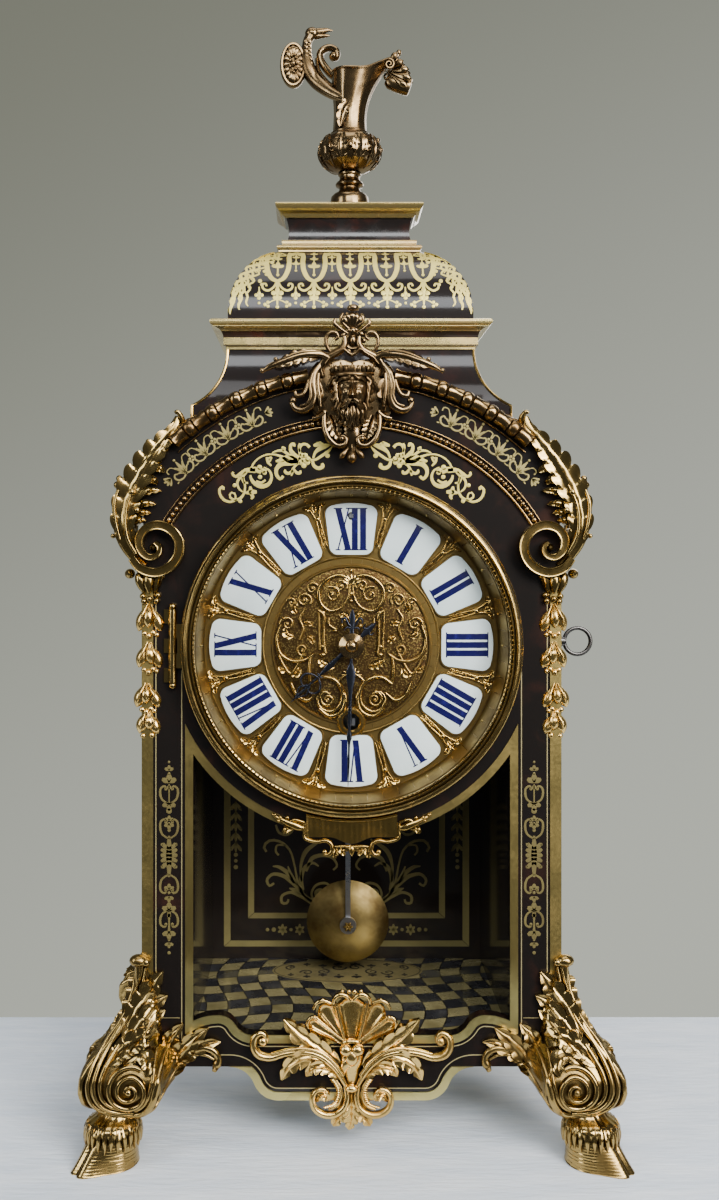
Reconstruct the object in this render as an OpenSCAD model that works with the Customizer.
// Cartel clock: a veneered case on four scroll legs with cloven hooves, an arched front with a round
// hinged bezel, an open pendulum window, a moulded hood with a ewer finial, and a weekly movement inside.
// Millimetres. The origin is the middle of the footprint: +X right, +Y back, +Z up.

/* [Case] */
// Width of the case between its outer sides
case_w = 250; // [244:2:260]
// Depth of the case from front face to back face
case_d = 140; // [134:2:160]
// Thickness of the front, side and back boards
board = 8; // [7:0.5:9]
// Height of the case's lower edge beside the legs
skirt_z = 50; // [48:1:52]
// How far the apron drops below that edge in the middle
apron_drop = 20; // [16:1:22]
// Half the width of the apron's flat middle
apron_flat = 44; // [40:1:48]
// Half the width over the apron's curved steps
apron_wide = 73; // [70:1:76]
// Radius of the arched top of the case
arch_r = 158.4; // [157:0.2:162]
// Height of that arch's centre
arch_z = 307; // [306:0.5:309]

/* [Pendulum window] */
// Half the width of the window
window_half = 95; // [92:0.5:96]
// Height of the chamber's floor, level with the window's lower edge
floor_z = 69; // [67:0.5:70]
// Thickness of the floor board
floor_t = 8; // [6:0.5:9]
// Radius of the window's top edge round the dial's centre
window_top_r = 115; // [113:0.5:118]
// Half the width of the straight stretch at the window's lower edge
sill_half = 59; // [56:0.5:62]
// Rise of the lower edge's side waves
sill_rise = 12; // [10:0.5:13]
// Width of the brass band round the window
band_w = 4.8; // [4:0.2:5.4]
// How far brass bands stand proud of the veneer
band_t = 0.8; // [0.6:0.1:1]
// Thickness of the chamber's side linings
lining_t = 3; // [2:0.5:4]

/* [Dial and bezel] */
// Height of the dial's centre
dial_z = 302.5; // [301:0.5:304]
// Radius of the round opening in the front board
dial_hole_r = 94; // [93.5:0.1:95]
// Outer radius of the bezel
bezel_r = 102; // [101:0.5:103]
// Depth of the bezel from the front board
bezel_d = 14; // [13:0.5:15]
// Thickness of the bezel's glass
glass_t = 2; // [1.6:0.2:2.4]
// Thickness of the dial plate
dial_t = 2; // [1.6:0.2:2.4]
// Inner radius of the enamel cartouches
numeral_in = 54; // [53:0.5:56]
// Outer radius of the enamel cartouches
numeral_out = 87.5; // [86:0.5:88]
// Radius of the cast centre of the dial
centre_r = 47; // [45:0.5:48]
// Distance of the winding hole below the dial's centre
winding_drop = 46.5; // [46:0.5:47.5]
// Distance of the regulator hole above the dial's centre
regulator_rise = 78; // [77:0.5:79]
// Length of the hour hand
hour_len = 50; // [46:0.5:52]
// Length of the minute hand
minute_len = 84; // [80:0.5:84]

/* [Hood] */
// Half the width of the hood's neck at its top
neck_half = 76; // [72:1:78]
// How much less deep than wide the hood is, on each half
hood_inset = 28; // [26:1:30]
// Height of the underside of the cornice
cornice_z = 484; // [482:1:486]
// Height of the cornice
cornice_h = 18; // [17:0.5:20]
// Height of the dome
dome_h = 50; // [46:1:52]
// Height of the upper mouldings and top plate together
crown_h = 32; // [30:0.5:34]
// Height of the finial
finial_h = 121; // [116:1:124]

/* [Legs] */
// How far a leg's scroll stands out from the case's side
leg_out = 33.4; // [32:0.2:34]
// How far a leg's scroll stands out from the case's front
leg_front = 24; // [23:0.2:25]
// Height of the hoof
hoof_h = 26; // [25:0.5:27]
// Radius of the hoof at its top
hoof_r = 17; // [16:0.5:18]
// How far the hoof's toe reaches from its centre, along the diagonal
toe_reach = 27; // [25:0.5:28]

/* [Side door] */
// Height of the side door
door_h = 140; // [130:2:144]
// Depth of the side door, front to back
door_w = 95; // [90:1:96]
// Distance of the door's front edge from the middle of the case
door_front = 45; // [43:0.5:46]
// Gap round the door
door_gap = 0.8; // [0.8:0.1:1]

/* [Movement] */
// Width of the movement's plates
plate_w = 104; // [102:1:106]
// Thickness of a movement plate
plate_t = 2.5; // [2:0.1:3]
// Space between the two plates
plate_gap = 44; // [44:0.5:46]
// Gear size of the barrel and its pinion
barrel_mod = 0.75; // [0.74:0.005:0.75]
// Gear size of the intermediate wheel
middle_mod = 0.6; // [0.595:0.005:0.6]
// Gear size of the centre wheel
centre_mod = 0.5; // [0.495:0.005:0.505]
// Gear size of the third wheel
third_mod = 0.45; // [0.445:0.005:0.455]
// Gear size of the motion work behind the dial
motion_mod = 0.75; // [0.74:0.005:0.76]
// Radius of the escape wheel
escape_r = 14; // [13.8:0.1:14.2]
// Length of the pendulum from its bend to the middle of its bob
pendulum_len = 248.5; // [246:0.5:250]
// Diameter of the pendulum bob
bob_d = 56; // [52:1:58]

/* [Hidden] */

veneer = "#2a1512";
gilt = "#c39a4a";
brass = "#b08d45";
steel = "#70757d";
blued = "#1d2230";
enamel = "#e8efe9";

smooth = 72;
fine = 32;
slip = 0.05;
seat = 0.2;
half_w = case_w / 2;
half_d = case_d / 2;
face_y = -half_d;
inner_y = face_y + board;
back_y = half_d - board;
spring_z = arch_z + sqrt(arch_r * arch_r - half_w * half_w);
arch_top = arch_z + arch_r;

// Points along an arc from angle a to angle b.
function arc(cx, cz, r, a, b, steps = 8) =
    [for (i = [0:steps]) let (t = a + (b - a) * i / steps) [cx + r * cos(t), cz + r * sin(t)]];
function mirrored(points) =
    [for (i = [len(points) - 1:-1:0]) if (points[i][0] > 0) [-points[i][0], points[i][1]]];
function both(points) = concat(points, mirrored(points));

// A flat shape drawn as seen from the front, from depth y backwards by t.
module front(y, t) {
    translate([0, y + t, 0]) rotate([90, 0, 0]) linear_extrude(t) children();
}

// A flat shape drawn as seen from the right, its first axis running back, from x outwards by t.
module side(x, t) {
    translate([x, 0, 0]) rotate([90, 0, 90]) linear_extrude(t) children();
}

// A round solid about an axis that runs front to back. The profile's first value is the radius and its
// second the depth.
module turned(x = 0, z = 0) {
    translate([x, 0, z]) rotate([-90, 0, 0]) rotate_extrude($fn = smooth) children();
}

module rod_y(x, z, y0, y1, r, sides = fine) {
    translate([x, y1, z]) rotate([90, 0, 0]) cylinder(h = y1 - y0, r = r, $fn = sides);
}

module rod_x(x0, x1, y, z, r, sides = fine) {
    translate([x0, y, z]) rotate([0, 90, 0]) cylinder(h = x1 - x0, r = r, $fn = sides);
}

// The apron's wave: two equal arcs that step down from the skirt to the apron's flat.
wave_run = (apron_wide - apron_flat) / 2;
wave_drop = apron_drop / 2;
wave_turn = 2 * atan(wave_drop / wave_run);
wave_r = wave_drop / (1 - cos(wave_turn));
apron_z = skirt_z - apron_drop;

// Right half of the case's front outline, grown by g.
function case_half(g) = concat(
    arc(apron_flat, apron_z + wave_r, wave_r + g, 270, 270 + wave_turn),
    arc(apron_wide, skirt_z - wave_r, wave_r - g, 90 + wave_turn, 90),
    [[half_w + g, skirt_z - g]],
    arc(0, arch_z, arch_r + g, acos((half_w + g) / (arch_r + g)), 90, 24)
);
module case_outline(g = 0) { polygon(both(case_half(g))); }

// Right half of the pendulum window, grown by g.
sill_run = 10.5;
sill_turn = 2 * atan(sill_rise / 2 / sill_run);
sill_r = sill_rise / 2 / (1 - cos(sill_turn));
sill_top = sill_half + 2 * sill_run;
corner_r = 34;
function window_half_points(g) = concat(
    arc(sill_half, floor_z + sill_r, sill_r + g, 270, 270 + sill_turn),
    arc(sill_top, floor_z + sill_rise - sill_r, sill_r - g, 90 + sill_turn, 90, 5),
    arc(sill_top, floor_z + sill_rise - corner_r, corner_r - g, 90,
        acos((window_half + g - sill_top) / (corner_r - g)), 5),
    arc(0, dial_z, window_top_r - g, -acos((window_half + g) / (window_top_r - g)), -90, 20)
);
module window_outline(g = 0) { polygon(both(window_half_points(g))); }

// Case boards

module front_panel() {
    color(veneer)
    front(face_y, board) difference() {
        case_outline();
        window_outline();
        translate([0, dial_z]) circle(dial_hole_r, $fn = smooth);
    }
}

// The two brass bands, seen from the front: round the window and along the apron's curved steps.
module band_shapes() {
    difference() {
        window_outline(band_w);
        window_outline();
        translate([0, dial_z]) circle(bezel_r + 1, $fn = smooth);
    }
    difference() {
        case_outline();
        case_outline(-band_w);
        translate([-case_w, skirt_z]) square([2 * case_w, case_w * 2]);
        for (s = [-1, 1]) translate([s * (half_w + 40) - 60, 0]) square([120, case_w]);
        circle(skirt_z, $fn = smooth);
    }
}
module window_band() {
    color(brass) front(face_y - band_t, band_t) band_shapes();
}

module back_panel() {
    color(veneer)
    front(back_y, board) intersection() {
        case_outline();
        translate([-case_w, skirt_z]) square([2 * case_w, case_w * 2]);
    }
}

module side_board() {
    side(half_w - board, board) polygon([
        [inner_y, skirt_z], [back_y, skirt_z], [back_y, spring_z], [inner_y, spring_z]
    ]);
}

door_low = dial_z - door_h / 2;
lock_y = -door_front + 12;
bolt_h = 8;
bolt_t = 4;
module left_side() {
    color(veneer) mirror([1, 0, 0]) side_board();
}

module right_side() {
    color(veneer) difference() {
        side_board();
        translate([half_w - board - 1, -door_front - door_gap, door_low - door_gap])
            cube([board + 2, door_w + 2 * door_gap, door_h + 2 * door_gap]);
        translate([half_w - board / 2, -door_front - door_gap - 4, dial_z])
            cube([bolt_t + 0.8, 10, bolt_h + 0.8], center = true);
    }
}

roof_t = 6;
module roof() {
    color(veneer)
    front(inner_y, case_d - 2 * board) intersection() {
        difference() {
            case_outline();
            case_outline(-roof_t);
        }
        translate([-case_w, spring_z]) square([2 * case_w, case_w]);
    }
}

module floor_board() {
    color(brass)
    translate([-half_w + board, inner_y, floor_z - floor_t])
        cube([case_w - 2 * board, case_d - 2 * board, floor_t]);
}

lining_top = 250;
module chamber_linings() {
    color(veneer)
    for (s = [0, 1]) mirror([s, 0, 0])
        translate([window_half, inner_y, floor_z])
            cube([lining_t, case_d - 2 * board, lining_top - floor_z]);
}

strip_w = 6;
strip_low = 122;
module corner_strips() {
    color(brass)
    for (sx = [0, 1], sy = [0, 1]) mirror([sx, 0, 0]) mirror([0, sy, 0])
        translate([0, 0, strip_low]) difference() {
            translate([half_w - strip_w, face_y - band_t, 0])
                cube([strip_w + band_t, strip_w + band_t, spring_z - strip_low - 62]);
            translate([half_w - strip_w - 1, face_y, -1])
                cube([strip_w + 1, strip_w + 1, spring_z]);
        }
}

screw_r = 3;
module back_screws() {
    color(brass)
    for (x = [-half_w + 12, half_w - 12], z = [140, 260, 380])
        rod_y(x, z, half_d, half_d + 1.2, screw_r);
}

// Legs

knob_z = 114;
leg_top = knob_z - 4;
hoof_x = half_w + 17;
hoof_y = half_d + 12;

// A leg's outer edge from the top down, as shares of its greatest reach.
function leg_edge(reach) = [
    for (p = [[0.1, leg_top], [0.13, 98], [0.3, 82], [0.52, 70], [0.84, 58], [0.97, 51], [1, 43],
              [0.94, 36], [0.8, 31], [0.72, 28]])
        [p[0] * reach, p[1]]
];
module leg_profile(base, reach) {
    polygon(concat(
        [for (p = leg_edge(reach)) [base + p[0], p[1]]],
        [for (p = [[2, 26], [10, 31], [16, 39], [19.5, 46], [28, 54], [24, 60], [14, 66], [16, 82], [10, 96],
                   [4, leg_top]])
            [base - p[0], p[1]]]
    ));
}

// A spiral ribbon of given outer radius, turning inwards by the given turns.
module spiral(r, width, turns, hand = 1) {
    steps = 16 * turns;
    out = [for (i = [0:steps]) let (k = i / steps, a = hand * k * turns * 360)
        [(r * (1 - 0.78 * k)) * cos(a), (r * (1 - 0.78 * k)) * sin(a)]];
    in = [for (i = [steps:-1:0]) let (k = i / steps, a = hand * k * turns * 360,
        q = r * (1 - 0.78 * k) - width * (1 - 0.5 * k))
        [q * cos(a), q * sin(a)]];
    polygon(concat(out, in));
}

// A lobed leaf along +X from the origin, seen flat.
module leaf(length, width, lobes = 4) {
    steps = lobes * 5;
    edge = [for (i = [0:steps]) let (t = i / steps)
        [length * t, width * pow(sin(180 * pow(t, 0.8)), 0.7) * (0.72 + 0.28 * abs(sin(180 * lobes * t)))]];
    polygon(concat(edge, [for (i = [steps - 1:-1:1]) [edge[i][0], -edge[i][1]]]));
}

volute_r = 12;
relief = 3;
module leg_relief() {
    // Leaves that lie on one face of the case beside the leg, seen from the front.
    translate([half_w - 3, knob_z - 42]) rotate(112) leaf(32, 9, 3);
    translate([half_w - 8, skirt_z + 14]) rotate(150) leaf(28, 9, 3);
    translate([half_w - 10, skirt_z + 6]) rotate(172) leaf(42, 8, 3);
    translate([half_w - 46, skirt_z + 4]) circle(4, $fn = fine);
}

module hoof() {
    toe = toe_reach * cos(45);
    translate([hoof_x, -hoof_y, 0]) {
        hull() {
            cylinder(h = 1.5, r = hoof_r + 1, $fn = fine);
            translate([toe - 6, 6 - toe, 0]) cylinder(h = 1.5, r = 6 + 2, $fn = fine);
            translate([-1, 1, hoof_h - 7]) cylinder(h = 1, r = hoof_r, $fn = fine);
        }
        translate([-1, 1, hoof_h - 6]) rotate_extrude($fn = fine)
            polygon(concat([[0, 0]], arc(hoof_r - 3, 4.2, 4.2, -90, 90), [[0, 8.4]]));
    }
}

module leg() {
    color(gilt) difference() {
        union() {
            intersection() {
                front(-half_d - leg_front, leg_front + 34) leg_profile(half_w, leg_out);
                mirror([0, 1, 0]) side(half_w - 34, leg_out + 34) leg_profile(half_d, leg_front);
            }
            rod_y(half_w + 2, 44, -half_d - leg_front - 2, -half_d, volute_r - 2);
            front(-half_d - leg_front - 3, 5) translate([half_w + 2, 44]) spiral(volute_r, 3.4, 2, -1);
            rod_x(half_w, half_w + leg_out + 1, -half_d + 4, 44, volute_r - 3);
            front(face_y - relief, relief) leg_relief();
            translate([half_w + 1, face_y - 1, knob_z]) sphere(5, $fn = fine);
            hoof();
        }
        translate([-half_w, face_y, skirt_z]) cube([case_w, case_d, spring_z]);
        front(face_y - band_t, band_t) window_outline(band_w + seat);
        translate([0, face_y - band_t, 0]) cube([apron_wide + seat, band_t, skirt_z + 1]);
    }
}
module leg_front_right() { leg(); }
module leg_front_left() { mirror([1, 0, 0]) leg(); }
module leg_back_right() { mirror([0, 1, 0]) leg(); }
module leg_back_left() { mirror([1, 0, 0]) mirror([0, 1, 0]) leg(); }

// Shell on the apron

shell_z = 67;
shell_depth = 9;
module shell_mount() {
    lobe_r = 8;
    front_y = face_y - band_t;
    color(gilt) difference() {
        union() {
            front(front_y - 6, 6) translate([0, shell_z]) {
                for (a = [-56, -28, 0, 28, 56]) rotate(90 + a) translate([22, 0]) circle(lobe_r, $fn = fine);
                polygon([[-24, 12], [-8, -2], [8, -2], [24, 12], [12, 27], [-12, 27]]);
            }
            for (a = [-56, -28, 0, 28, 56])
                translate([24 * sin(a), front_y - 5, shell_z + 24 * cos(a)]) sphere(5, $fn = fine);
            for (s = [0, 1]) mirror([s, 0, 0]) front(front_y - 4, 4) {
                translate([50, shell_z]) circle(6, $fn = fine);
                translate([10, shell_z - 6]) rotate(8) leaf(42, 7, 3);
                translate([8, shell_z - 6]) rotate(34) leaf(38, 7, 3);
                translate([10, shell_z - 14]) rotate(-30) leaf(38, 8, 3);
                translate([17, shell_z - 32]) circle(7, $fn = fine);
            }
            front(front_y - 5, 5) {
                translate([0, shell_z - 4]) rotate(-90) leaf(49, 11, 4);
                for (s = [-1, 1]) translate([s * 4, shell_z - 28]) rotate(-90 + s * 32) leaf(26, 6, 3);
            }
            rod_y(0, shell_z - 6, front_y - shell_depth, front_y, 7);
        }
        translate([-half_w, face_y - band_t, 0]) cube([case_w, 20, case_w]);
    }
}

// Hood

// A moulding that runs round a rectangle: the profile gives how far it stands out at each height.
module mitred(profile, hx, hy) {
    reach = max([for (p = profile) p[0]]) + 1;
    intersection() {
        front(-hy - reach, 2 * (hy + reach)) polygon(both([for (p = profile) [hx + p[0], p[1]]]));
        side(-hx - reach, 2 * (hx + reach)) polygon(both([for (p = profile) [hy + p[0], p[1]]]));
    }
}

neck_curve = 45;
neck_deep = neck_half - hood_inset;
neck_flare = 20;
neck_sweep = acos((neck_curve - neck_flare) / neck_curve);
neck_low = arch_z + sqrt(arch_r * arch_r - pow(neck_half + neck_flare, 2)) - 1;
module neck() {
    color(veneer) difference() {
        mitred(concat(
            [[neck_flare, neck_low]],
            arc(neck_curve, cornice_z, neck_curve, 180 + neck_sweep, 180, 12)
        ), neck_half, neck_deep);
        front(face_y - 1, case_d + 2) case_outline();
    }
}

module cornice() {
    t = cornice_z + cornice_h;
    color(gilt) mitred(concat(
        [[0, cornice_z], [1, cornice_z], [1, cornice_z + 2], [2.5, cornice_z + 2], [2.5, cornice_z + 7]],
        arc(8.5, t - 11, 6, 180, 90, 6),
        [[8.5, t - 4.4]],
        arc(8.5, t - 2.4, 2, -90, 90, 6),
        [[8.5, t - 0.4], [2, t - 0.4], [2, t]]
    ), neck_half, neck_deep);
}

dome_z = cornice_z + cornice_h;
dome_r = 48.9;
dome_lip = 5;
dome_end = asin((dome_h - dome_lip) / dome_r);
dome_in = dome_r * (1 - cos(dome_end));
module dome() {
    color(veneer) mitred(concat(
        [[0, dome_z]],
        arc(-dome_r, dome_z + dome_lip, dome_r, 0, dome_end, 14)
    ), neck_half, neck_deep);
}

crown_z = dome_z + dome_h;
crown_top = crown_z + crown_h;
module crown_moulding() {
    color(gilt) mitred(concat(
        [[0, crown_z]],
        arc(-1, crown_z + 2.3, 2.3, -60, 90, 6),
        [[-1, crown_z + 5.6], [-2, crown_z + 5.6], [-2, crown_z + 7.4], [-3, crown_z + 7.4]],
        arc(-3, crown_z + 15.4, 4.5, 260, 180, 5),
        [[-7.5, crown_top - 11]],
        arc(-1.5, crown_top - 11, 6, 180, 90, 5),
        [[1.5, crown_top - 5], [1.5, crown_top]]
    ), neck_half - dome_in, neck_deep - dome_in);
}

// Finial: a ewer with a fluted neck, a lip and a scrolled handle

module finial() {
    color(gilt) translate([0, 0, crown_top]) scale(finial_h / 121) {
        rotate_extrude($fn = smooth) polygon(concat(
            [[0, 0], [11, 0]],
            arc(9, 2.5, 2.5, -60, 90, 5),
            arc(12, 12, 7, 240, 150, 5),
            arc(4, 18, 3.5, -60, 60, 5),
            [[6, 22]],
            arc(6, 35, 14.8, -62, 30, 10),
            [[17, 45], [12, 50], [8.5, 56], [9, 64], [12, 76], [14, 82], [0, 82]]
        ));
        front(-6, 12) polygon([
            [-12, 72], [9, 62], [20, 72], [30, 77], [36, 76], [42, 80], [41, 88], [36, 95], [31, 98],
            [27, 90], [18, 86], [8, 84], [-10, 84]
        ]);
        front(-4, 8) polygon([
            [-9, 47], [-4, 60], [-11, 68], [-20, 78], [-16, 84], [-9, 88], [-13, 96], [-10, 102],
            [-14, 110], [-13, 118], [-18, 121], [-24, 118], [-30, 112], [-33, 102], [-28, 92],
            [-33, 84], [-27, 74], [-19, 66], [-14, 58]
        ]);
        front(-3, 6) translate([-38, 92]) circle(9, $fn = fine);
        front(-3, 6) translate([-10, 93]) spiral(8, 3, 1);
    }
}

// Arched mouldings and mounts on the front

moulding_r = 4.5;
arch_start = 11;
arch_end = 41;
// Part of a ring about the arch's centre, on the right of the top, between two angles from upright.
module arch_sweep(r, y, from, to) {
    translate([0, y, arch_z]) rotate([90, to - 90, 0]) rotate_extrude(angle = to - from, $fn = 128)
        translate([r, 0]) children();
}

module ringed_arch() {
    for (s = [0, 1]) mirror([s, 0, 0]) {
        arch_sweep(arch_r, face_y - moulding_r, arch_start, arch_end) circle(moulding_r - 0.6, $fn = fine);
        for (a = [arch_start + 0.6:3:arch_end])
            translate([arch_r * sin(a), face_y - moulding_r, arch_z + arch_r * cos(a)])
                rotate([0, a, 0]) translate([-0.9, 0, 0]) rotate([0, 90, 0])
                    cylinder(h = 1.8, r = moulding_r, $fn = fine);
    }
}

bead_ring = 130.3;
bead_r = 1.6;
bead_pitch = 3.9;
bead_start = 8;
bead_end = 57;
module bead_arch() {
    step = bead_pitch / bead_ring * 180 / PI;
    for (s = [0, 1]) mirror([s, 0, 0]) {
        arch_sweep(bead_ring, face_y, bead_start, bead_end) polygon([
            [-4, 0], [-4, 0.9], [-2.6, 0.9], [-2.2, 0.4], [1.3, 0.4], [1.3, 0]
        ]);
        for (a = [bead_start + step / 2:step:bead_end])
            translate([bead_ring * sin(a), face_y - bead_r - 0.05, arch_z + bead_ring * cos(a)])
                sphere(bead_r, $fn = fine);
    }
}
module arch_mouldings() {
    color(gilt) {
        ringed_arch();
        bead_arch();
    }
}

mask_z = 450;
module mask_mount() {
    // A crowned and bearded head of a general kind, in front of a leafy shield.
    back = face_y - 2 * moulding_r + 6;
    color(gilt) {
        front(face_y - 4, 4) translate([0, mask_z - 30]) {
            rotate(90) leaf(40, 15, 3);
            translate([0, 4]) rotate(-90) leaf(13, 4.5, 2);
        }
        difference() {
            translate([0, face_y - 6, mask_z]) rotate_extrude($fn = smooth) polygon(concat(
                [[0, -24]], arc(0, -6, 14, -60, 0, 6), arc(0, -2, 14, 0, 40, 5), [[12, 10], [13, 15], [0, 15]]
            ));
            translate([-60, face_y, mask_z - 60]) cube([120, 40, 120]);
        }
        translate([0, face_y - 19, mask_z - 4]) rotate([-12, 0, 0]) cylinder(h = 9, r = 2.4, $fn = fine);
        difference() {
            front(back - 5, 5) {
                translate([0, mask_z + 12]) polygon([
                    [-17, -2], [17, -2], [23, 8], [17, 18], [15, 32], [6, 38], [3, 54], [-3, 54], [-6, 38],
                    [-15, 32], [-17, 18], [-23, 8]
                ]);
                for (s = [0, 1]) mirror([s, 0, 0]) {
                    translate([12, mask_z + 19]) rotate(-6) leaf(41, 5, 3);
                    translate([20, mask_z + 8]) circle(5.5, $fn = fine);
                    translate([20, mask_z + 8]) rotate(-100) leaf(36, 7, 3);
                    translate([10, mask_z - 22]) circle(5, $fn = fine);
                }
            }
            for (s = [0, 1]) mirror([s, 0, 0])
                arch_sweep(arch_r, face_y - moulding_r, arch_start - 0.5, arch_end)
                    circle(moulding_r + seat, $fn = fine);
        }
        translate([0, back - 5, mask_z + 40]) sphere(6, $fn = fine);
        translate([0, back - 2.5, mask_z + 52]) sphere(3.5, $fn = fine);
    }
}

shoulder_x = 117;
shoulder_z = 362;
shoulder_r = 13.4;
module shoulder_mounts() {
    rim = 21;
    color(gilt)
    for (s = [0, 1]) mirror([s, 0, 0]) difference() {
        union() {
            front(face_y - 8, 8 + 12) translate([half_w, 0]) polygon([
                [1, 349], [15, 356], [rim, 371], [rim, 389], [rim - 8, 404], [-2, 424], [-12, 433],
                [-17, 441], [-21, 436], [-22, 424], [-14, 414], [-6, 402], [4, 390], [6, 374], [3, 368]
            ]);
            front(face_y - 7, 7) {
                translate([half_w + 6, 372]) rotate(118) leaf(34, 8, 3);
                translate([half_w, 394]) rotate(150) leaf(28, 8, 3);
            }
            rod_y(shoulder_x, shoulder_z, face_y - 4, face_y, shoulder_r - 1);
            front(face_y - 9, 9) translate([shoulder_x, shoulder_z]) spiral(shoulder_r, 4.4, 1.5, 1);
            rod_y(shoulder_x, shoulder_z, face_y - 9, face_y, 3);
        }
        translate([-half_w, face_y, 0]) cube([case_w, case_d, 2 * case_w]);
        arch_sweep(arch_r, face_y - moulding_r, arch_start, arch_end + 0.5)
            circle(moulding_r + seat, $fn = fine);
    }
}

husk_r = 8;
husk_step = 25.5;
husk_x = half_w - 4;
module garlands() {
    color(gilt)
    for (s = [0, 1]) mirror([s, 0, 0]) difference() {
        union() for (i = [0:3]) translate([husk_x, face_y + 2.4, 323 - i * husk_step]) {
            rotate_extrude($fn = fine) polygon(concat(
                [[0, -3]], arc(-10, 10, husk_r + 10, -22, 30, 8), [[2.4, 22], [2.4, 25.5], [0, 25.5]]
            ));
        }
        translate([-half_w, face_y - band_t, 0]) cube([case_w, case_d, 2 * case_w]);
        translate([-case_w, inner_y - 3, 0]) cube([2 * case_w, case_d, 2 * case_w]);
        translate([half_w, face_y - band_t, 0]) cube([band_t, case_d, 2 * case_w]);
    }
}

module nameplate() {
    front_y = face_y - band_t;
    color(gilt) difference() {
        union() {
            front(front_y - 4, 4) difference() {
                union() {
                    translate([-28, 187]) square([56, 14]);
                    polygon([[-26, 188], [-16, 179], [0, 177], [16, 179], [26, 188]]);
                }
                translate([0, dial_z]) circle(bezel_r + 1, $fn = smooth);
            }
            for (s = [0, 1]) mirror([s, 0, 0]) front(front_y - 3, 3) {
                translate([29, 193]) circle(5, $fn = fine);
                translate([30, 194]) rotate(18) leaf(20, 4.6, 3);
                translate([13, 181]) circle(4, $fn = fine);
            }
        }
        rod_y(0, dial_z, face_y - 20, face_y, bezel_r + 1, smooth);
    }
}

// Bezel, glass and dial

bezel_y = face_y - 0.3;
bezel_in = 96;
bezel_lip = 93;
glass_r = 94.3;
glass_y = face_y - 9;
hinge_x = -bezel_r - 5;
hinge_r = 2.4;
hinge_y = face_y - hinge_r - seat;
hinge_h = 44;
knuckles = 5;
knuckle = hinge_h / knuckles;
module bezel_ring() {
    lip_y = bezel_y - bezel_d;
    rebate_r = glass_r + seat / 2;
    color(gilt) turned(0, dial_z) polygon(concat(
        [[bezel_in, bezel_y], [bezel_in, glass_y], [rebate_r, glass_y], [rebate_r, glass_y - glass_t]],
        [[bezel_lip, glass_y - glass_t], [bezel_lip, lip_y + 2]],
        arc(bezel_lip + 2, lip_y + 2, 2, 180, 360, 6),
        arc(bezel_r - 3, lip_y + 5, 3, 250, 360, 6),
        arc(bezel_r - 1, lip_y + 10, 1, -90, 90, 4),
        [[bezel_r, bezel_y - 2], [bezel_r, bezel_y]]
    ));
}

module bezel_glass() {
    color([0.8, 0.9, 0.9, 0.35])
    rod_y(0, dial_z, glass_y - glass_t, glass_y, glass_r, smooth);
}

module knuckle_set(odd) {
    for (i = [0:knuckles - 1]) if (i % 2 == odd)
        translate([hinge_x, hinge_y, dial_z - hinge_h / 2 + i * knuckle + 0.1])
            cylinder(h = knuckle - 0.2, r = hinge_r, $fn = fine);
}

pin_r = 0.9;
module bezel_hinge_fixed() {
    color(brass) {
        knuckle_set(0);
        for (i = [0, 2, 4])
            translate([hinge_x - 5.5, face_y - 1.2, dial_z - hinge_h / 2 + i * knuckle + 0.1])
                cube([5.5, 1.2, knuckle - 0.2]);
        translate([hinge_x, hinge_y, dial_z]) {
            cylinder(h = hinge_h + 2, r = pin_r, center = true, $fn = fine);
            for (s = [-1, 1]) translate([0, 0, s * (hinge_h / 2 + 1.6)]) sphere(2.2, $fn = fine);
        }
    }
}

module bezel_hinge_moving() {
    leaf_y = hinge_y - 1;
    color(brass) difference() {
        union() {
            knuckle_set(1);
            for (i = [1, 3])
                translate([hinge_x, leaf_y, dial_z - hinge_h / 2 + i * knuckle + 0.1])
                    cube([5 + 2.4, 2, knuckle - 0.2]);
            translate([hinge_x + hinge_r + 0.4, leaf_y, dial_z - hinge_h / 2 + knuckle])
                cube([6, 2, hinge_h - 2 * knuckle]);
        }
        translate([hinge_x, hinge_y, dial_z])
            cylinder(h = 2 * hinge_h, r = pin_r + slip, center = true, $fn = fine);
        rod_y(0, dial_z, face_y - 20, face_y, bezel_r, smooth);
    }
}

sight_out = bezel_in - 2;
sight_front = glass_y + 0.4;
module sight_ring() {
    color(brass) turned(0, dial_z) polygon([
        [numeral_out + 1.5, inner_y], [dial_hole_r - 0.1, inner_y], [dial_hole_r - 0.1, face_y],
        [sight_out, face_y], [sight_out, sight_front], [sight_out - 1.2, sight_front],
        [numeral_out + 1.5, inner_y - 2]
    ]);
}

dial_y = inner_y;
arbor_hole = 4.4;
collet_r = 8.5;
collet_hole = 5;
regulator_z = dial_z + regulator_rise;
winding_z = dial_z - winding_drop;
module dial_plate() {
    color(brass) difference() {
        rod_y(0, dial_z, dial_y, dial_y + dial_t, dial_hole_r + 4, smooth);
        rod_y(0, dial_z, dial_y - 1, dial_y + dial_t + 1, arbor_hole);
        rod_y(0, winding_z, dial_y - 1, dial_y + dial_t + 1, collet_hole + 1);
        rod_y(0, regulator_z, dial_y - 1, dial_y + dial_t + 1, 2.4);
    }
}

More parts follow.
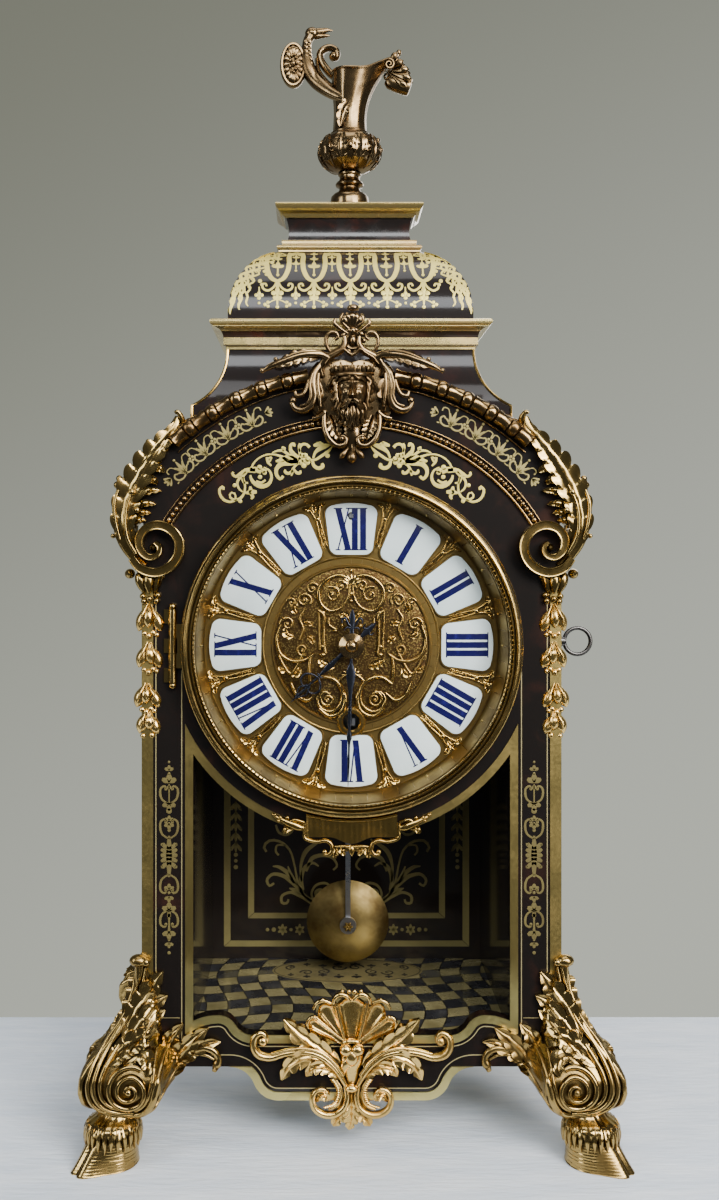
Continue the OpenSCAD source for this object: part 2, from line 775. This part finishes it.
centre_t = 2;
module dial_centre() {
    color(gilt) difference() {
        union() {
            rod_y(0, dial_z, dial_y - centre_t, dial_y, centre_r, smooth);
            turned(0, dial_z) polygon([
                [centre_r, dial_y - 1], [numeral_in - 0.5, dial_y - 1], [numeral_in - 0.5, dial_y],
                [centre_r, dial_y]
            ]);
            turned(0, dial_z) translate([centre_r + 2.2, dial_y - 1]) circle(1, $fn = fine);
            for (k = [0:2]) turned(0, dial_z)
                translate([14 + 11 * k, dial_y - centre_t]) circle(0.8, $fn = fine);
        }
        rod_y(0, dial_z, dial_y - 5, dial_y + 1, arbor_hole);
        rod_y(0, winding_z, dial_y - 5, dial_y + 1, collet_r + 0.1);
        rod_y(0, dial_z, dial_y, dial_y + 5, 2 * centre_r, smooth);
    }
}

cartouche_t = 3;
// One enamel plate, upright above the dial's centre: straight sides that follow the dial's radii.
module cartouche_outline() {
    r = 5;
    w_in = 13.4;
    w_out = 15.8;
    polygon(both(concat(
        arc(w_in - r, numeral_in + 0.6 + r, r, -90, 0, 5),
        arc(w_out - r, numeral_out - 1.6 - r, r, 0, 70, 5),
        arc(0, numeral_out - 44, 44, 78, 90, 3)
    )));
}
module cartouches() {
    color(enamel)
    for (i = [0:11]) difference() {
        translate([0, 0, dial_z]) rotate([0, i * 30, 0])
            front(dial_y - cartouche_t, cartouche_t) cartouche_outline();
        if (i == 0) rod_y(0, regulator_z, dial_y - 9, dial_y + 1, 2.4);
        if (i == 6) rod_y(0, winding_z, dial_y - 9, dial_y + 1, collet_r + 0.1);
    }
}

module winding_collet() {
    color(gilt) turned(0, winding_z) polygon([
        [collet_hole, dial_y], [collet_r, dial_y], [collet_r, dial_y - 3], [collet_r - 1, dial_y - 3.8],
        [collet_hole + 0.8, dial_y - 3.8], [collet_hole, dial_y - 3]
    ]);
}

// Hands, drawn pointing up and then turned to the time

hour_angle = 227;
minute_angle = 181.5;
hour_y = dial_y - 6.6;
minute_y = dial_y - 9.4;
hand_t = 1;
pipe_r = 3.6;
post_r = 2.5;
module at_hand(angle) {
    translate([0, 0, dial_z]) rotate([0, angle, 0]) children();
}

module hour_hand() {
    color(blued) at_hand(hour_angle) front(hour_y, hand_t) difference() {
        polygon(both([
            [0, -20], [2, -19], [3.4, -14], [1.2, -12], [2, -6], [5.8, -4], [5.8, 4], [2, 6],
            [1.3, hour_len * 0.52], [2.6, hour_len * 0.56], [2.4, hour_len * 0.62],
            [7.6, hour_len * 0.63], [8.6, hour_len * 0.69], [7, hour_len * 0.75],
            [4.6, hour_len * 0.77], [3.4, hour_len * 0.84], [1.6, hour_len * 0.87],
            [2.4, hour_len * 0.9], [0, hour_len]
        ]));
        circle(pipe_r, $fn = fine);
        for (s = [-1, 1]) translate([s * 4.3, hour_len * 0.69]) circle(2, $fn = fine);
        translate([0, hour_len * 0.77]) circle(2, $fn = fine);
    }
}

module minute_hand() {
    color(blued) at_hand(minute_angle) front(minute_y, hand_t) difference() {
        polygon(both([
            [0, -22], [1.2, -17], [3.6, -18], [4.4, -15], [1.1, -12], [1.8, -5], [4.8, -3], [4.8, 3],
            [1.8, 5], [1.4, 12], [2.8, 15], [2.8, 18], [1.3, 22], [1.3, minute_len * 0.62],
            [2.2, minute_len * 0.65], [1, minute_len * 0.7], [0.5, minute_len]
        ]));
        circle(post_r, $fn = fine);
    }
}

module hand_nut() {
    nut_y = minute_y - 0.1;
    color(brass) difference() {
        turned(0, dial_z) polygon(concat(
            [[0, nut_y], [6, nut_y], [7.6, nut_y - 1]], arc(0, nut_y - 1, 4.4, -30, -90, 6)
        ));
        rod_y(0, dial_z, nut_y - 3.2, nut_y + 1, centre_r_arbor + pivot_gap);
    }
}

// Movement

work_y = -40;
plate_y = work_y + plate_t;
rear_y = plate_y + plate_gap;
end_y = rear_y + plate_t;
plate_low = dial_z - 77.5;
plate_high = dial_z + 69.5;

great_teeth = 84;
middle_pinion_teeth = 12;
middle_teeth = 84;
centre_pinion_teeth = 14;
centre_teeth = 80;
third_pinion_teeth = 8;
third_teeth = 70;
escape_pinion_teeth = 7;
escape_teeth = 36;
cannon_teeth = 12;
minute_teeth = 36;
minute_pinion_teeth = 10;
hour_teeth = 40;
ratchet_teeth = 24;

function mesh(m, a, b) = m * (a + b) / 2;
function apex(p, q, rp, rq, s) =
    let (d = norm(q - p), u = (q - p) / d, k = (rp * rp - rq * rq + d * d) / (2 * d))
    let (h = sqrt(rp * rp - k * k))
    p + k * u + s * h * [u[1], -u[0]];

pallet_turn = 42.5;
anchor_rise = escape_r / cos(pallet_turn);
pallet_arm = escape_r * tan(pallet_turn);
anchor_z = dial_z + 52.5;
centre_at = [0, dial_z];
barrel_at = [0, winding_z];
escape_at = [0, anchor_z - anchor_rise];
middle_at = apex(barrel_at, centre_at, mesh(barrel_mod, great_teeth, middle_pinion_teeth),
                 mesh(middle_mod, middle_teeth, centre_pinion_teeth), 1);
third_at = apex(centre_at, escape_at, mesh(centre_mod, centre_teeth, third_pinion_teeth),
                mesh(third_mod, third_teeth, escape_pinion_teeth), -1);
motion_far = mesh(motion_mod, cannon_teeth, minute_teeth);
hour_mod = 2 * motion_far / (minute_pinion_teeth + hour_teeth);
minute_at = [motion_far, dial_z];

// A gear's outline about the origin. Its first tooth points along the given angle.
module teeth(count, m, first = 0, top = 0.78, root = 1.15, share = 0.21) {
    pitch = 360 / count;
    r = count * m / 2;
    inner = r - root * m;
    outer = r + top * m;
    flank = r + top * m * 0.6;
    polygon([for (i = [0:count - 1]) let (a = first + i * pitch) each [
        for (p = [[inner, -share - 0.05], [r, -share], [flank, -share * 0.72], [outer, -share * 0.3],
                  [outer, share * 0.3], [flank, share * 0.72], [r, share], [inner, share + 0.05]])
            [p[0] * cos(a + p[1] * pitch), p[0] * sin(a + p[1] * pitch)]
    ]]);
}
function bearing(p, q) = atan2(q[1] - p[1], q[0] - p[0]);

module gear(at, y, t, count, m, first, hole = 0) {
    front(y, t) translate(at) difference() {
        teeth(count, m, first);
        if (hole > 0) circle(hole, $fn = 12);
    }
}

// A wheel of few spokes: its rim keeps a share of the radius.
module wheel(at, y, t, count, m, first, hole, spokes = 5) {
    r = count * m / 2;
    front(y, t) translate(at) difference() {
        teeth(count, m, first);
        difference() {
            circle(r - 3.2 * m - 1, $fn = fine * 2);
            circle(hole + 2.4, $fn = fine);
            for (i = [0:spokes - 1]) rotate(i * 360 / spokes) translate([0, -m]) square([r, 2 * m]);
        }
    }
}

module arbor(at, y0, y1, r) {
    rod_y(at[0], at[1], y0, y1, r);
}

pivot_r = 1;
pivot_gap = 0.05;
arbor_r = 1.6;
centre_r_arbor = 1.4;
barrel_arbor_r = 3;
pillar_x = plate_w / 2 - 8;
module pivots() {
    for (p = [middle_at, third_at, escape_at])
        arbor(p, work_y - 1, end_y + 1, pivot_r + pivot_gap);
    arbor(centre_at, work_y - 1, end_y + 1, centre_r_arbor + pivot_gap);
    arbor([0, anchor_z], work_y - 1, end_y + 1, pivot_r + pivot_gap);
    arbor(barrel_at, work_y - 1, end_y + 1, barrel_arbor_r + pivot_gap);
}

cock_y = end_y + 8;
cock_t = 5;
spring_w = 5;
pendulum_y = cock_y + cock_t / 2;
click_at = [7.9, winding_z + 19.4];
module movement_frame() {
    color(brass) difference() {
        union() {
            for (y = [work_y, rear_y])
                translate([-plate_w / 2, y, plate_low]) cube([plate_w, plate_t, plate_high - plate_low]);
            for (x = [-pillar_x, pillar_x], z = [plate_low + 8, plate_high - 8]) {
                rod_y(x, z, plate_y, rear_y, 4);
                rod_y(x, z, dial_y + dial_t, work_y, 3);
                rod_y(x, z, end_y, end_y + 2, 3.5);
            }
            arbor(minute_at, work_y - 12, work_y, 1.2);
            arbor(click_at, work_y - 4, work_y, 1.2);
            // The cock behind the back plate holds the suspension and the rear end of the regulator.
            translate([-9, end_y, plate_high - 6]) cube([18, 2, 22]);
            translate([-9, end_y, plate_high + 2]) cube([18, cock_y + cock_t - end_y, 14]);
            translate([-4, cock_y, anchor_z + 3.5]) cube([8, cock_t, plate_high - anchor_z]);
        }
        pivots();
        rod_y(0, regulator_z, end_y - 1, cock_y + cock_t + 1, 1.5 + pivot_gap);
        translate([-0.25, cock_y - 1, anchor_z]) cube([0.5, cock_t + 2, 16]);
    }
}

drum_y = -31;
drum_end = -9;
drum_r = 28.5;
module barrel() {
    great_y = drum_end;
    color(brass) {
        difference() {
            union() {
                arbor(barrel_at, drum_y, drum_end, drum_r);
                gear(barrel_at, great_y, 3, great_teeth, barrel_mod, bearing(barrel_at, middle_at));
            }
            arbor(barrel_at, drum_y + 1.5, drum_end, drum_r - 1.5);
            arbor(barrel_at, drum_y - 1, great_y + 4, barrel_arbor_r + pivot_gap);
        }
    }
}

coil_turns = 6;
module mainspring() {
    inner = barrel_arbor_r + 0.4;
    outer = drum_r - 1.8;
    steps = coil_turns * 14;
    grow = outer - inner - 0.7;
    color(steel)
    front(drum_y + 2.5, drum_end - drum_y - 4) translate(barrel_at) polygon(concat(
        [for (i = [0:steps]) let (k = i / steps, a = 360 * coil_turns * k, r = inner + grow * k)
            [r * cos(a), r * sin(a)]],
        [for (i = [steps:-1:0]) let (k = i / steps, a = 360 * coil_turns * k, r = inner + grow * k + 0.7)
            [r * cos(a), r * sin(a)]]
    ));
}

ratchet_r = 13;
ratchet_y = work_y - 3;
module winding_arbor() {
    color(steel) {
        difference() {
            union() {
                arbor(barrel_at, ratchet_y - 1, end_y + 0.5, barrel_arbor_r);
                front(dial_y - 3, ratchet_y - dial_y + 3) translate(barrel_at) square(4.4, center = true);
            }
        }
        front(ratchet_y, 2) translate(barrel_at) polygon([
            for (i = [0:ratchet_teeth - 1]) let (a = 15 * i) each [
                [ratchet_r * cos(a), ratchet_r * sin(a)],
                [(ratchet_r - 2) * cos(a + 2), (ratchet_r - 2) * sin(a + 2)]
            ]
        ]);
    }
}

// The click rests in a tooth space of the ratchet.
module click() {
    tip = barrel_at + (ratchet_r - 0.9) * [cos(33), sin(33)];
    d = tip - click_at;
    u = d / norm(d);
    n = [-u[1], u[0]];
    color(steel) front(ratchet_y, 2) difference() {
        union() {
            translate(click_at) circle(3, $fn = fine);
            polygon([click_at + 1.6 * n, click_at - 1.6 * n, tip]);
        }
        translate(click_at) circle(1.2 + pivot_gap, $fn = fine);
    }
}

half_pitch = 0.5;
module intermediate_wheel() {
    at = middle_at;
    color(brass) {
        arbor(at, plate_y + 0.3, rear_y - 0.3, arbor_r);
        arbor(at, work_y + 0.2, end_y - 0.2, pivot_r);
        gear(at, drum_end - 1, 5, middle_pinion_teeth, barrel_mod,
             bearing(at, barrel_at) + half_pitch * 360 / middle_pinion_teeth);
        wheel(at, 0, 2, middle_teeth, middle_mod, bearing(at, centre_at), arbor_r);
    }
}

centre_wheel_y = -35.5;
module centre_wheel() {
    at = centre_at;
    color(brass) {
        arbor(at, minute_y - 3, end_y - 0.2, centre_r_arbor);
        arbor(at, plate_y + 0.3, rear_y - 0.3, arbor_r + 0.4);
        gear(at, -1, 4, centre_pinion_teeth, middle_mod,
             bearing(at, middle_at) + half_pitch * 360 / centre_pinion_teeth);
        wheel(at, centre_wheel_y, 1.8, centre_teeth, centre_mod, bearing(at, third_at), arbor_r + 0.4);
    }
}

third_wheel_y = -20;
module third_wheel() {
    at = third_at;
    color(brass) {
        arbor(at, plate_y + 0.3, rear_y - 0.3, 1.2);
        arbor(at, work_y + 0.2, end_y - 0.2, pivot_r);
        gear(at, centre_wheel_y - 0.6, 3, third_pinion_teeth, centre_mod,
             bearing(at, centre_at) + half_pitch * 360 / third_pinion_teeth);
        wheel(at, third_wheel_y, 1.4, third_teeth, third_mod, bearing(at, escape_at), 1.2, 4);
    }
}

escape_y = 2;
escape_first = 95;
module escape_wheel() {
    at = escape_at;
    pitch = 360 / escape_teeth;
    color(brass) {
        arbor(at, plate_y + 0.3, rear_y - 0.3, 0.9);
        arbor(at, work_y + 0.2, end_y - 0.2, 0.9);
        gear(at, third_wheel_y - 0.8, 3, escape_pinion_teeth, third_mod,
             bearing(at, third_at) + half_pitch * 360 / escape_pinion_teeth);
        front(escape_y, 1.2) translate(at) difference() {
            polygon([for (i = [0:escape_teeth - 1]) let (a = escape_first - i * pitch) each [
                [escape_r * cos(a + 0.5), escape_r * sin(a + 0.5)],
                [escape_r * cos(a - 0.5), escape_r * sin(a - 0.5)],
                [(escape_r - 2.2) * cos(a - 1.4), (escape_r - 2.2) * sin(a - 1.4)],
                [(escape_r - 2.2) * cos(a - 8), (escape_r - 2.2) * sin(a - 8)]
            ]]);
            difference() {
                circle(escape_r - 4, $fn = fine);
                circle(3, $fn = fine);
                for (i = [0:3]) rotate(90 * i) translate([0, -0.8]) square([escape_r, 1.6]);
            }
        }
    }
}

work_gap = 1;
motion_y = work_y - 7;
hour_gear_y = motion_y - 5;
module cannon_pinion() {
    color(brass) difference() {
        union() {
            arbor(centre_at, minute_y - 0, work_y - work_gap, post_r - 0.1);
            gear(centre_at, motion_y, 4, cannon_teeth, motion_mod, half_pitch * 360 / cannon_teeth);
        }
        arbor(centre_at, minute_y - 1, work_y, centre_r_arbor + pivot_gap);
    }
}

module minute_wheel() {
    color(brass) difference() {
        union() {
            gear(minute_at, motion_y + 1, 1.6, minute_teeth, motion_mod, 180);
            gear(minute_at, hour_gear_y - 1, motion_y - hour_gear_y + 2, minute_pinion_teeth, hour_mod, 0);
        }
        arbor(minute_at, hour_gear_y - 2, work_y, 1.2 + pivot_gap);
    }
}

module hour_wheel() {
    color(brass) difference() {
        union() {
            arbor(centre_at, hour_y, hour_gear_y + 1.6, pipe_r);
            gear(centre_at, hour_gear_y, 1.6, hour_teeth, hour_mod, half_pitch * 360 / hour_teeth);
        }
        arbor(centre_at, hour_y - 1, work_y, post_r + pivot_gap);
    }
}

swing_lift = 0.17;
crutch_len = 52;
module anchor() {
    at = [0, anchor_z];
    reach = pallet_arm;
    tip = [pallet_arm * cos(pallet_turn), -pallet_arm * sin(pallet_turn)];
    axis_in = [-sin(pallet_turn), -cos(pallet_turn)];
    color(steel) {
        arbor(at, work_y + 0.2, cock_y - 2, pivot_r);
        arbor(at, plate_y + 0.3, rear_y - 0.3, 1.6);
        front(escape_y - 0.4, 2) translate(at) {
            circle(3, $fn = fine);
            for (s = [0, 1]) mirror([s, 0]) {
                end = tip - swing_lift * axis_in;
                along = [axis_in[1], -axis_in[0]];
                polygon([
                    [0, 2.4], end - 3.4 * axis_in - 0.5 * along, end - 0.9 * axis_in - 0.5 * along,
                    end - 0.25 * along, end + 0.25 * along, end - 0.9 * axis_in + 0.9 * along, [0, -2.4]
                ]);
            }
        }
        // The crutch hangs behind the back plate and holds the rod between two fingers.
        front(end_y + 4.4, 1.4) translate(at) {
            circle(3, $fn = fine);
            translate([-1.2, -crutch_len + 1]) square([2.4, crutch_len - 1]);
            translate([-3.6, -crutch_len]) square([7.2, 3]);
        }
        for (s = [-1, 1]) translate([s * (rod_w / 2 + 0.9) - 0.6, end_y + 5, anchor_z - crutch_len + 0.3])
            cube([1.2, pendulum_y - end_y - 1.6, 2.4]);
    }
}

spring_t = 0.3;
spring_low = 7;
module suspension_spring() {
    color(steel) {
        translate([-spring_t / 2, pendulum_y - spring_w / 2, anchor_z - spring_low])
            cube([spring_t, spring_w, 20]);
    }
}

rod_w = 3.4;
rod_t = 1;
bob_z = anchor_z - pendulum_len;
bob_t = 15;
nut_r = 5.6;
module pendulum_rod() {
    y0 = pendulum_y - rod_t / 2;
    cheek = 0.75;
    color(brass) {
        translate([-rod_w / 2, y0, bob_z - 2])
            cube([rod_w, rod_t, anchor_z - spring_low - 0.5 - bob_z]);
        for (s = [0, 1]) mirror([s, 0, 0])
            translate([cheek, pendulum_y - 2.6, anchor_z - spring_low - 3]) cube([1.6, 5.2, 5.5]);
        translate([-cheek - 1.6, pendulum_y - 2.6, anchor_z - spring_low - 4.2])
            cube([2 * cheek + 3.2, 5.2, 2]);
        rod_y(0, bob_z, y0 - 2, y0 + rod_t, nut_r);
        rod_y(0, bob_z - 1, y0 - 3.4, y0, 2);
    }
}

module bob_dome() {
    // Half of the bob: a cap of a large ball.
    r = bob_d / 2;
    h = bob_t / 2;
    ball = (r * r + h * h) / (2 * h);
    rotate([90, 0, 0]) rotate_extrude($fn = smooth)
        polygon(concat([[0, 0]], arc(0, h - ball, ball, 90 - asin(r / ball), 90, 12)));
}

module pendulum_bob() {
    y = pendulum_y + rod_t / 2 + 0.1 + bob_t / 2;
    color(brass) difference() {
        union() {
            translate([0, y, bob_z]) bob_dome();
            translate([0, y, bob_z]) mirror([0, 1, 0]) bob_dome();
        }
        translate([-rod_w / 2 - 0.1, pendulum_y - 5, bob_z - 4])
            cube([rod_w + 0.2, 5 + rod_t / 2 + 0.1, bob_d]);
    }
}

module regulator_arbor() {
    color(steel) {
        rod_y(0, regulator_z, dial_y - 1, cock_y + cock_t, 1.5);
        front(dial_y - 3.4, 3) translate([0, regulator_z]) square(2.4, center = true);
        rod_y(0, regulator_z, cock_y + cock_t, cock_y + cock_t + 1.5, 3);
    }
}

// Side door with its lock and key

door_x = half_w - board;
door_hinge_x = half_w + 2.2;
door_hinge_y = door_w - door_front + 2.2;
door_knuckle = 7;
door_hinges_at = [door_low + 22, door_low + door_h - 22 - 3 * door_knuckle];
lock_x = door_x - 7;
lock_h = 30;
lock_w = 26;
module side_door() {
    color(veneer) difference() {
        translate([door_x, -door_front, door_low]) cube([board, door_w, door_h]);
        rod_x(door_x - 1, half_w + 1, lock_y, dial_z, 2.6);
        translate([door_x + board / 2 - bolt_t / 2 - 0.3, -door_front - 1, dial_z - bolt_h / 2 - 0.3])
            cube([bolt_t + 0.6, 9, bolt_h + 0.6]);
    }
}

module door_hinges() {
    // Two butt hinges; the leaf on the case carries the outer knuckles and the pin.
    color(brass) for (z = door_hinges_at) {
        difference() {
            union() {
                for (i = [0, 2]) translate([door_hinge_x, door_hinge_y, z + i * door_knuckle])
                    cylinder(h = door_knuckle - 0.15, r = 2, $fn = fine);
                for (i = [0, 2]) translate([half_w, door_hinge_y, z + i * door_knuckle])
                    cube([1, 8, door_knuckle - 0.15]);
                for (i = [0, 2]) translate([half_w, door_hinge_y - 0.5, z + i * door_knuckle])
                    cube([2.2, 1, door_knuckle - 0.15]);
            }
        }
        translate([door_hinge_x, door_hinge_y, z]) cylinder(h = 3 * door_knuckle - 0.15, r = 0.8, $fn = fine);
    }
}

module door_hinge_leaves() {
    color(brass) for (z = door_hinges_at) difference() {
        union() {
            translate([door_hinge_x, door_hinge_y, z + door_knuckle + 0.1])
                cylinder(h = door_knuckle - 0.35, r = 2, $fn = fine);
            translate([half_w, door_hinge_y - 10, z + door_knuckle + 0.1])
                cube([1, 10, door_knuckle - 0.35]);
        }
        translate([door_hinge_x, door_hinge_y, z])
            cylinder(h = 3 * door_knuckle, r = 0.8 + slip, $fn = fine);
    }
}

module door_lock() {
    // The lock's box inside the door and the escutcheon outside it.
    color(brass) difference() {
        union() {
            rod_x(half_w, half_w + 1, lock_y, dial_z, 7);
            translate([lock_x, -door_front + 1, dial_z - lock_h / 2])
                cube([door_x - lock_x, lock_w, lock_h]);
        }
        rod_x(lock_x - 1, half_w + 2, lock_y, dial_z, key_r + pivot_gap);
    }
}

bolt_out = 0.3;
module lock_bolt() {
    color(steel)
    translate([door_x + board / 2 - bolt_t / 2, -door_front + bolt_out, dial_z - bolt_h / 2])
        cube([bolt_t, 7.4, bolt_h]);
}

bow_r = 9.6;
wire = 1.3;
key_r = 2.2;
module key() {
    x_end = half_w + 9;
    color(blued) {
        rod_x(lock_x + 1, x_end + 2, lock_y, dial_z, key_r);
        rod_x(x_end - 3, x_end + 1, lock_y, dial_z, key_r + 0.9);
        translate([x_end + bow_r, lock_y, dial_z]) rotate([90, 0, 0]) rotate_extrude($fn = smooth)
            translate([bow_r - wire, 0]) circle(wire, $fn = fine);
    }
}

front_panel();
window_band();
back_panel();
left_side();
right_side();
roof();
floor_board();
chamber_linings();
corner_strips();
leg_front_left();
leg_front_right();
leg_back_left();
leg_back_right();
shell_mount();
neck();
cornice();
dome();
crown_moulding();
finial();
arch_mouldings();
mask_mount();
shoulder_mounts();
garlands();
nameplate();
bezel_ring();
bezel_glass();
bezel_hinge_fixed();
bezel_hinge_moving();
sight_ring();
dial_plate();
dial_centre();
cartouches();
winding_collet();
hour_hand();
minute_hand();
hand_nut();
movement_frame();
barrel();
mainspring();
winding_arbor();
click();
intermediate_wheel();
centre_wheel();
third_wheel();
escape_wheel();
cannon_pinion();
minute_wheel();
hour_wheel();
anchor();
suspension_spring();
pendulum_rod();
pendulum_bob();
regulator_arbor();
side_door();
door_hinges();
door_hinge_leaves();
door_lock();
lock_bolt();
key();
back_screws();
